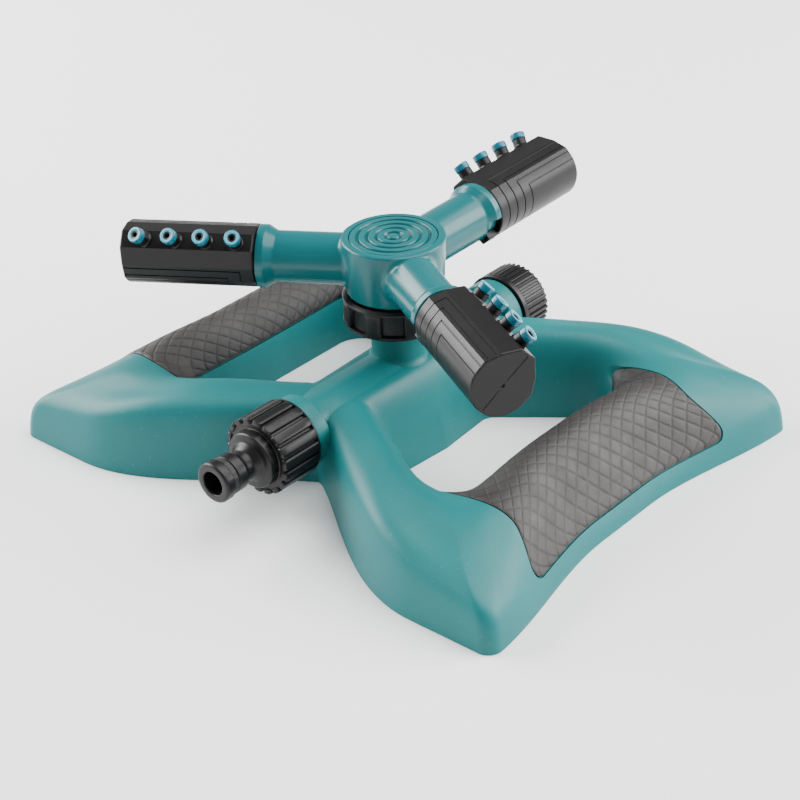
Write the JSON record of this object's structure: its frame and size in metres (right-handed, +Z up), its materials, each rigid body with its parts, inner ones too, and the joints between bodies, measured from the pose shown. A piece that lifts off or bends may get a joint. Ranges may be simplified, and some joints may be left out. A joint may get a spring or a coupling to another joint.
{
  "type": "rotating lawn sprinkler",
  "caption": "Low butterfly-shaped base with grip-covered side bars and a water barrel, carrying a spinning rotor whose arms end in turnable nozzle tubes.",
  "frame": {"origin": "on the ground under the rotor's axis, at the foot under the riser", "axes": "+Z up along the rotor's axis, -Y towards the hose inlet along the water barrel, +X and -X towards the two grips"},
  "size_m": [0.2426, 0.2093, 0.0923],
  "materials": {
    "teal_plastic": "satin moulded",
    "teal_gloss_plastic": "smooth moulded",
    "blue_tip_plastic": "smooth moulded",
    "charcoal_plastic": "satin moulded",
    "grey_grip_rubber": "matt, diamond pattern",
    "black_seal_rubber": "matt",
    "white_bearing_plastic": "smooth bearing plastic"
  },
  "bodies": {
    "base": {"base_shell": "teal_plastic", "grip_left": "grey_grip_rubber", "grip_right": "grey_grip_rubber", "inlet_adapter": "charcoal_plastic", "nipple_seal": "black_seal_rubber", "inlet_washer": "black_seal_rubber", "outlet_cap": "charcoal_plastic", "outlet_washer": "black_seal_rubber", "thrust_washer": "white_bearing_plastic", "collar_nut": "charcoal_plastic"},
    "rotor": {"swivel_bush": "white_bearing_plastic", "bush_seal": "black_seal_rubber", "rotor_hub": "teal_gloss_plastic", "hub_cap": "teal_gloss_plastic"},
    "tube_1": {"nozzle_tube_1": "charcoal_plastic", "tube_seal_1": "black_seal_rubber", "nozzle_tip_1_1": "blue_tip_plastic", "nozzle_tip_1_2": "blue_tip_plastic", "nozzle_tip_1_3": "blue_tip_plastic", "nozzle_tip_1_4": "blue_tip_plastic"},
    "tube_2": {"nozzle_tube_2": "charcoal_plastic", "tube_seal_2": "black_seal_rubber", "nozzle_tip_2_1": "blue_tip_plastic", "nozzle_tip_2_2": "blue_tip_plastic", "nozzle_tip_2_3": "blue_tip_plastic", "nozzle_tip_2_4": "blue_tip_plastic"},
    "tube_3": {"nozzle_tube_3": "charcoal_plastic", "tube_seal_3": "black_seal_rubber", "nozzle_tip_3_1": "blue_tip_plastic", "nozzle_tip_3_2": "blue_tip_plastic", "nozzle_tip_3_3": "blue_tip_plastic", "nozzle_tip_3_4": "blue_tip_plastic"}
  },
  "joints": [
    {"name": "rotor_spin", "type": "hinge", "parent": "base", "child": "rotor", "pos_m": [0, 0, 0.0644], "axis": [0, 0, 1], "continuous": true},
    {"name": "tube_1_turn", "type": "hinge", "parent": "rotor", "child": "tube_1", "pos_m": [0, 0, 0.0759], "axis": [-0.0262, 0.9997, 0], "range_deg": [-35, 35]},
    {"name": "tube_2_turn", "type": "hinge", "parent": "rotor", "child": "tube_2", "pos_m": [0, 0, 0.0759], "axis": [-0.8526, -0.5225, 0], "range_deg": [-35, 35]},
    {"name": "tube_3_turn", "type": "hinge", "parent": "rotor", "child": "tube_3", "pos_m": [0, 0, 0.0759], "axis": [0.8788, -0.4772, 0], "range_deg": [-35, 35]}
  ]
}
